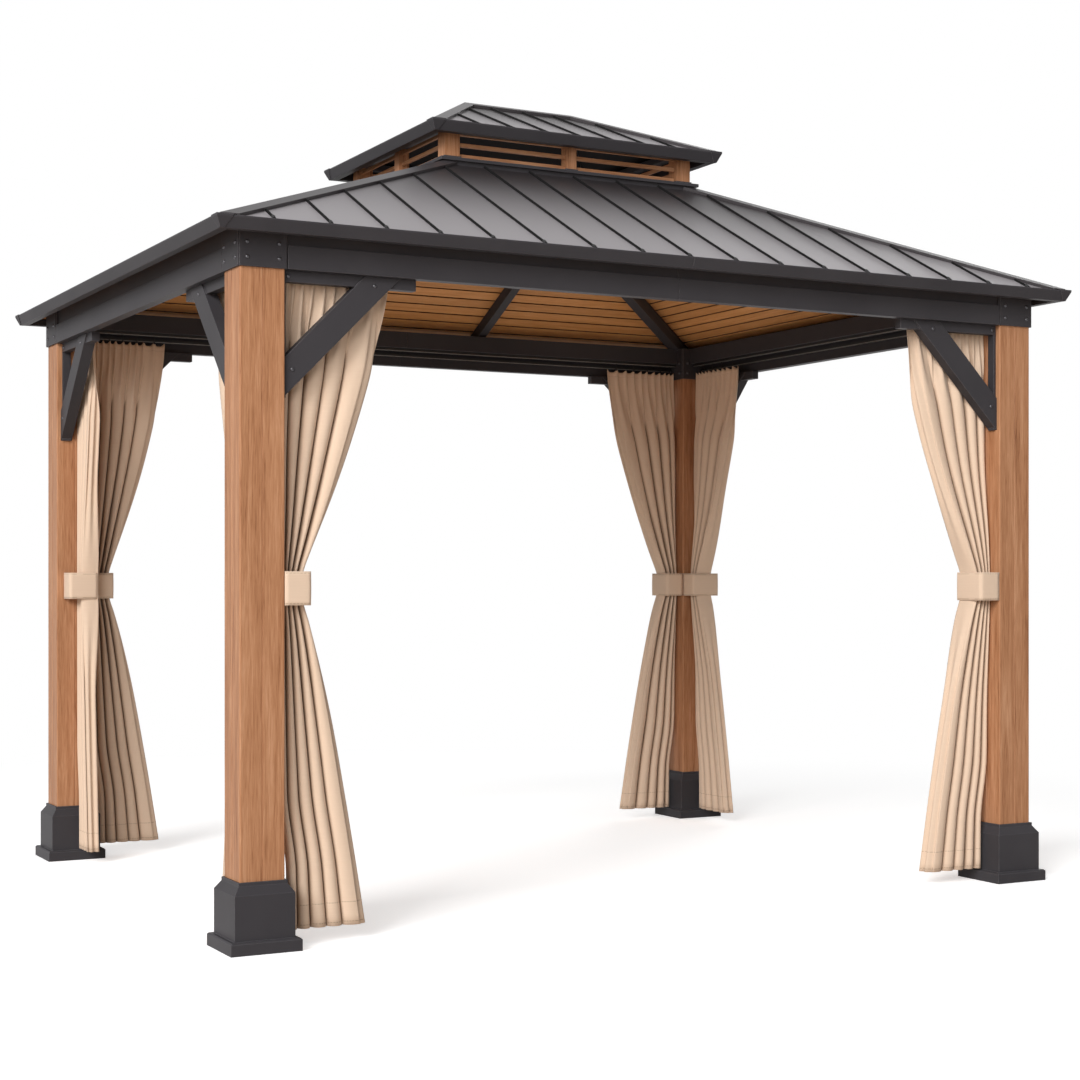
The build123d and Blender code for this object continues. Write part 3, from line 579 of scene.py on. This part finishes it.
# Printed board: straight honey-brown grain, each plank a shade of its own, and the plank sides
# painted dark as shade in the joints.
board_print, tree = start_material("printed_ceiling_board")
laid = wire(tree, "ShaderNodeUVMap", uv_map="board")
colour, pores = grain(tree, laid, (0.05, 1.0, 1.0), 0.022,
                      [(0.30, "#b57a45"), (0.45, "#d1945a"), (0.55, "#dca066"), (0.70, "#e9b179")])
tone = wire(tree, "ShaderNodeAttribute", take="Fac", attribute_name="shade")
colour = wire(tree, "ShaderNodeHueSaturation", {"Color": colour, "Value": tone})
relief = wire(tree, "ShaderNodeBump", {"Strength": 0.1, "Distance": 0.0005, "Height": pores})
board = wire(tree, "ShaderNodeBsdfPrincipled",
             {"Base Color": colour, "Roughness": 0.55, "Specular IOR Level": 0.3,
              "Normal": relief})
wire(tree, "ShaderNodeOutputMaterial", {"Surface": board})
ceiling = add_piece("ceiling_boards", bm, board_print, sharp=20)
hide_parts("ceiling_panels")

# Roof sheets: pressed steel with standing ribs, screwed down to the rafters. The ribs are coloured
# near black, so that they show as dark lines, and the pans carry painted light, paler towards the
# eaves.
cupola_eave = (0.626, 0.531)
cupola_eave_height = 2.90487
cupola_rise = 0.212
roof_falls = (0.37826, 0.50813)
cupola_falls = (0.55643, 0.39925)
rib_over = 0.0012


def ribbed_steel(name, eave, low, falls, rise):
    """Coil-coated steel: a satin warm grey, painted paler towards the eaves as light, and black on
    whatever stands over the pans.
    """
    material, tree = start_material(name)
    place = wire(tree, "ShaderNodeTexCoord", take="Object")
    height = wire(tree, "ShaderNodeSeparateXYZ", {0: place}, take="Z")
    out = wire(tree, "ShaderNodeVectorMath", {0: place}, operation="ABSOLUTE")
    inward = wire(tree, "ShaderNodeVectorMath", {0: (*eave, 0), 1: out}, operation="SUBTRACT")
    climb = wire(tree, "ShaderNodeVectorMath", {0: inward, 1: (*falls, 0)}, operation="MULTIPLY")
    climbs = wire(tree, "ShaderNodeSeparateXYZ", {0: climb}, take=None)
    pan = wire(tree, "ShaderNodeMath", {0: climbs["X"], 1: climbs["Y"]}, operation="MINIMUM")
    over = wire(tree, "ShaderNodeMath", {0: height, 1: pan}, operation="SUBTRACT")
    rib = wire(tree, "ShaderNodeMath", {0: over, 1: low + rib_over}, operation="GREATER_THAN")
    cloud = wire(tree, "ShaderNodeTexNoise", {"Vector": place, "Scale": 2.2, "Detail": 4.0})
    waves = wire(tree, "ShaderNodeTexNoise", {"Vector": place, "Scale": 5.0, "Detail": 1.0})
    colour = wire(tree, "ShaderNodeValToRGB", {"Fac": cloud},
                  stops=[(0.3, "#2b2728"), (0.7, "#322e2f")])
    # Painted light: the pans are coloured paler towards the eaves.
    painted_eave_light = wire(tree, "ShaderNodeMapRange",
                {"Value": pan, "From Max": rise, "To Min": 0.8, "To Max": 0.0},
                interpolation_type="SMOOTHSTEP")
    colour = wire(tree, "ShaderNodeMix", {"Factor": painted_eave_light, 6: colour, 7: tint("#aca7aa")},
                  take=2, data_type="RGBA")
    colour = wire(tree, "ShaderNodeMix", {"Factor": rib, 6: colour, 7: tint("#0b0a0a")},
                  take=2, data_type="RGBA")
    # The underside is coloured near black: a dull dark back coat, darkened further as painted
    # shade.
    facing_way = wire(tree, "ShaderNodeNewGeometry", take="Normal")
    upright = wire(tree, "ShaderNodeSeparateXYZ", {0: facing_way}, take="Z")
    under = wire(tree, "ShaderNodeMath", {0: upright, 1: -0.2}, operation="LESS_THAN")
    colour = wire(tree, "ShaderNodeMix", {"Factor": under, 6: colour, 7: tint("#141212")},
                  take=2, data_type="RGBA")
    dull = wire(tree, "ShaderNodeMath", {0: under, 1: rib}, operation="MAXIMUM")
    rough = wire(tree, "ShaderNodeMapRange", {"Value": dull, "To Min": 0.45, "To Max": 0.9})
    relief = wire(tree, "ShaderNodeBump",
                  {"Strength": 0.25, "Distance": 0.003, "Height": waves})
    coat = wire(tree, "ShaderNodeBsdfPrincipled",
                {"Base Color": colour, "Roughness": rough, "Specular IOR Level": 0.25,
                 "Normal": relief})
    wire(tree, "ShaderNodeOutputMaterial", {"Surface": coat})
    return material


roof_steel = ribbed_steel("coil_coated_roof_steel", eave, eave_height, roof_falls, roof_rise)
for side in sides:
    nodes[side + "_roof_sheet"].data.materials[0] = roof_steel
cupola_steel = ribbed_steel("coil_coated_cupola_steel", cupola_eave, cupola_eave_height,
                            cupola_falls, cupola_rise)
nodes["cupola_roof_sheets"].data.materials[0] = cupola_steel

# Hip and ridge caps: strips of the same coated steel, folded on a brake to the angle of the two
# slopes with their edges turned down, and screwed over the joints of the sheets.
# Fresh coil coat without ribs: a shade paler than the pans' tops, with a soft satin shine.
cap_coat, tree = start_material("folded_cap_steel")
place = wire(tree, "ShaderNodeTexCoord", take="Object")
cloud = wire(tree, "ShaderNodeTexNoise", {"Vector": place, "Scale": 2.6, "Detail": 4.0})
colour = wire(tree, "ShaderNodeValToRGB", {"Fac": cloud},
              stops=[(0.3, "#3c383a"), (0.7, "#444042")])
edge = wire(tree, "ShaderNodeBevel", {"Radius": 0.002}, samples=4)
coat = wire(tree, "ShaderNodeBsdfPrincipled",
            {"Base Color": colour, "Roughness": 0.42, "Specular IOR Level": 0.4, "Normal": edge})
wire(tree, "ShaderNodeOutputMaterial", {"Surface": coat})
for name in ("hip_caps", "cupola_caps"):
    nodes[name].data.materials[0] = cap_coat

# Rib ends: soft rubber plugs pushed into the open lower ends of the main roof's ribs, to keep out
# water and insects. They sit just over the gutter's lip.
rib_pitch = 0.194
long_ribs, short_ribs = 8, 6
plug_lift = 0.0058
plug_back = 0.022
plug_line = [(0.0, 0.0080), (0.0034, 0.0070), (0.0056, 0.0040), (0.0062, 0.0),
             (0.0062, -0.0080), (0.0, -0.0080)]
plug_places = []
for side, (outward, along) in sides.items():
    angle = math.atan(reach(side, roof_falls))
    downward = outward * math.cos(angle) - Vector((0, 0, math.sin(angle)))
    normal = outward * math.sin(angle) + Vector((0, 0, math.cos(angle)))
    count = long_ribs if side in ("front", "back") else short_ribs
    for step in range(-count, count + 1):
        spot = outward * reach(side, eave) + along * (step * rib_pitch)
        spot += Vector((0, 0, eave_height))
        plug_places.append(facing(spot + normal * plug_lift - downward * plug_back, downward))
bm = bmesh.new()
add_copies(bm, turned_shape("rib_plug_pattern", plug_line, 8), plug_places)
# Rubber: black and dull, with a slight bloom.
rubber, tree = start_material("black_rubber")
place = wire(tree, "ShaderNodeTexCoord", take="Object")
cloud = wire(tree, "ShaderNodeTexNoise", {"Vector": place, "Scale": 500.0, "Detail": 2.0})
colour = wire(tree, "ShaderNodeValToRGB", {"Fac": cloud},
              stops=[(0.3, "#121112"), (0.7, "#1d1b1c")])
soft = wire(tree, "ShaderNodeBsdfPrincipled", {"Base Color": colour, "Roughness": 0.6})
wire(tree, "ShaderNodeOutputMaterial", {"Surface": soft})
add_piece("rib_plugs", bm, rubber)

# Cupola posts and louvre slats: small aluminium tubes and flat slats in the posts' wood-grain
# film, the slats set into the posts three to a bay. The grain runs along each piece.
small_post = 0.0225
# The same film in a narrower print: brown bands along the slats, upright on the posts between.
cupola_coat, tree = start_material("wood_grain_film_on_slats")
place = wire(tree, "ShaderNodeTexCoord", take="Object")
size = wire(tree, "ShaderNodeVectorMath", {0: place}, operation="ABSOLUTE")
axes = wire(tree, "ShaderNodeSeparateXYZ", {0: size}, take=None)
narrow = wire(tree, "ShaderNodeMath", {0: axes["X"], 1: axes["Y"]}, operation="MINIMUM")
on_post = wire(tree, "ShaderNodeMath", {0: narrow, 1: small_post}, operation="LESS_THAN")
post_colour, pores = grain(tree, place, post_grain, 0.024, wood_stops)
slat_colour, pores = grain(tree, place, (0.045, 0.045, 1.0), 0.016, wood_stops)
colour = wire(tree, "ShaderNodeMix", {"Factor": on_post, 6: slat_colour, 7: post_colour},
              take=2, data_type="RGBA")
film = wire(tree, "ShaderNodeBsdfPrincipled",
            {"Base Color": colour, "Roughness": 0.52, "Specular IOR Level": 0.3})
wire(tree, "ShaderNodeOutputMaterial", {"Surface": film})
nodes["cupola_louvres"].data.materials[0] = cupola_coat
nodes["cupola_posts"].data.materials[0] = post_coat

# Floor, light and camera: a pale studio floor and backdrop, a wide soft lamp from the left, a broad
# fill from beside the camera and a weak one behind, for the sides the photograph does not show.
near_floor, far_floor = 2.2, 5.5
# Name, place, point it is turned to, width and power.
lamps = (("wide_key", (-29.3, -20.1, 18.9), (0, 0, 1.4), 18.0, 11700.0),
         ("front_fill", (-9.5, -13.0, 4.6), (0, 0, 1.5), 6.0, 660.0),
         ("back_fill", (14.0, 13.0, 8.0), (0, 0, 1.4), 9.0, 1000.0))
focal_pixels = 1945.0
frame_pixels = 1080.0
horizon_pixels = 577.5
floor_mesh = bpy.data.meshes.new("studio_floor")
bm = bmesh.new()
bmesh.ops.create_grid(bm, x_segments=1, y_segments=1, size=60.0)
bm.to_mesh(floor_mesh)
bm.free()
studio_floor = bpy.data.objects.new("studio_floor", floor_mesh)
bpy.context.scene.collection.objects.link(studio_floor)


def seen_rays(tree):
    """1 for what is looked at, straight or in a reflection, and 0 for light that only falls."""
    rays = wire(tree, "ShaderNodeLightPath", take=None)
    mirrored = wire(tree, "ShaderNodeMath",
                    {0: rays["Is Glossy Ray"], 1: rays["Is Transmission Ray"]},
                    operation="MAXIMUM")
    return wire(tree, "ShaderNodeMath", {0: rays["Is Camera Ray"], 1: mirrored},
                operation="MAXIMUM")


# Floor paint: white where it is looked at, with soft shadows near the posts, and a warm pale grey
# for the light it throws back up.
floor_paint, tree = start_material("pale_studio_floor")
seen = seen_rays(tree)
# Away from the gazebo the floor runs into the white backdrop.
ground = wire(tree, "ShaderNodeTexCoord", take="Object")
away = wire(tree, "ShaderNodeVectorMath", {0: ground}, take="Value", operation="LENGTH")
blend = wire(tree, "ShaderNodeMapRange",
             {"Value": away, "From Min": near_floor, "From Max": far_floor},
             interpolation_type="SMOOTHSTEP")
near = wire(tree, "ShaderNodeMix", {"Factor": blend, 6: tint("#ffffff"), 7: tint("#000000")},
            take=2, data_type="RGBA")
colour = wire(tree, "ShaderNodeMix", {"Factor": seen, 6: tint("#dacdc1"), 7: near},
              take=2, data_type="RGBA")
bright = wire(tree, "ShaderNodeMapRange", {"Value": blend, "To Min": 0.5, "To Max": 1.0})
glow = wire(tree, "ShaderNodeMath", {0: seen, 1: bright}, operation="MULTIPLY")
paint = wire(tree, "ShaderNodeBsdfPrincipled",
             {"Base Color": colour, "Roughness": 0.9, "Specular IOR Level": 0.0,
              "Emission Color": tint("#ffffff"), "Emission Strength": glow})
wire(tree, "ShaderNodeOutputMaterial", {"Surface": paint})
floor_mesh.materials.append(floor_paint)

world = bpy.data.worlds.new("studio")
bpy.context.scene.world = world
world.use_nodes = True
tree = world.node_tree
tree.nodes.clear()
strength = wire(tree, "ShaderNodeMapRange",
                {"Value": seen_rays(tree), "To Min": 0.22, "To Max": 1.0})
sky = wire(tree, "ShaderNodeBackground", {"Color": tint("#ffffff"), "Strength": strength})
wire(tree, "ShaderNodeOutputWorld", {"Surface": sky})

for name, spot, target, across, power in lamps:
    lamp = bpy.data.lights.new(name, "AREA")
    lamp.shape = "DISK"
    lamp.size = across
    lamp.energy = power
    stand = bpy.data.objects.new(name, lamp)
    bpy.context.scene.collection.objects.link(stand)
    stand.location = spot
    turn = (Vector(target) - Vector(spot)).to_track_quat("-Z", "Y")
    stand.rotation_euler = turn.to_euler()

lens = bpy.data.cameras.new("photo_view")
lens.sensor_width = 36.0
lens.lens = focal_pixels / frame_pixels * lens.sensor_width
lens.shift_y = (horizon_pixels - frame_pixels / 2) / frame_pixels
lens.clip_end = 200.0
photo_view = bpy.data.objects.new("photo_view", lens)
bpy.context.scene.collection.objects.link(photo_view)
photo_view.location = (-3.685, -7.14, 1.195)
photo_view.rotation_euler = (math.radians(90), 0, math.radians(-27.93))
bpy.context.scene.camera = photo_view
bpy.context.scene.view_settings.view_transform = "Standard"
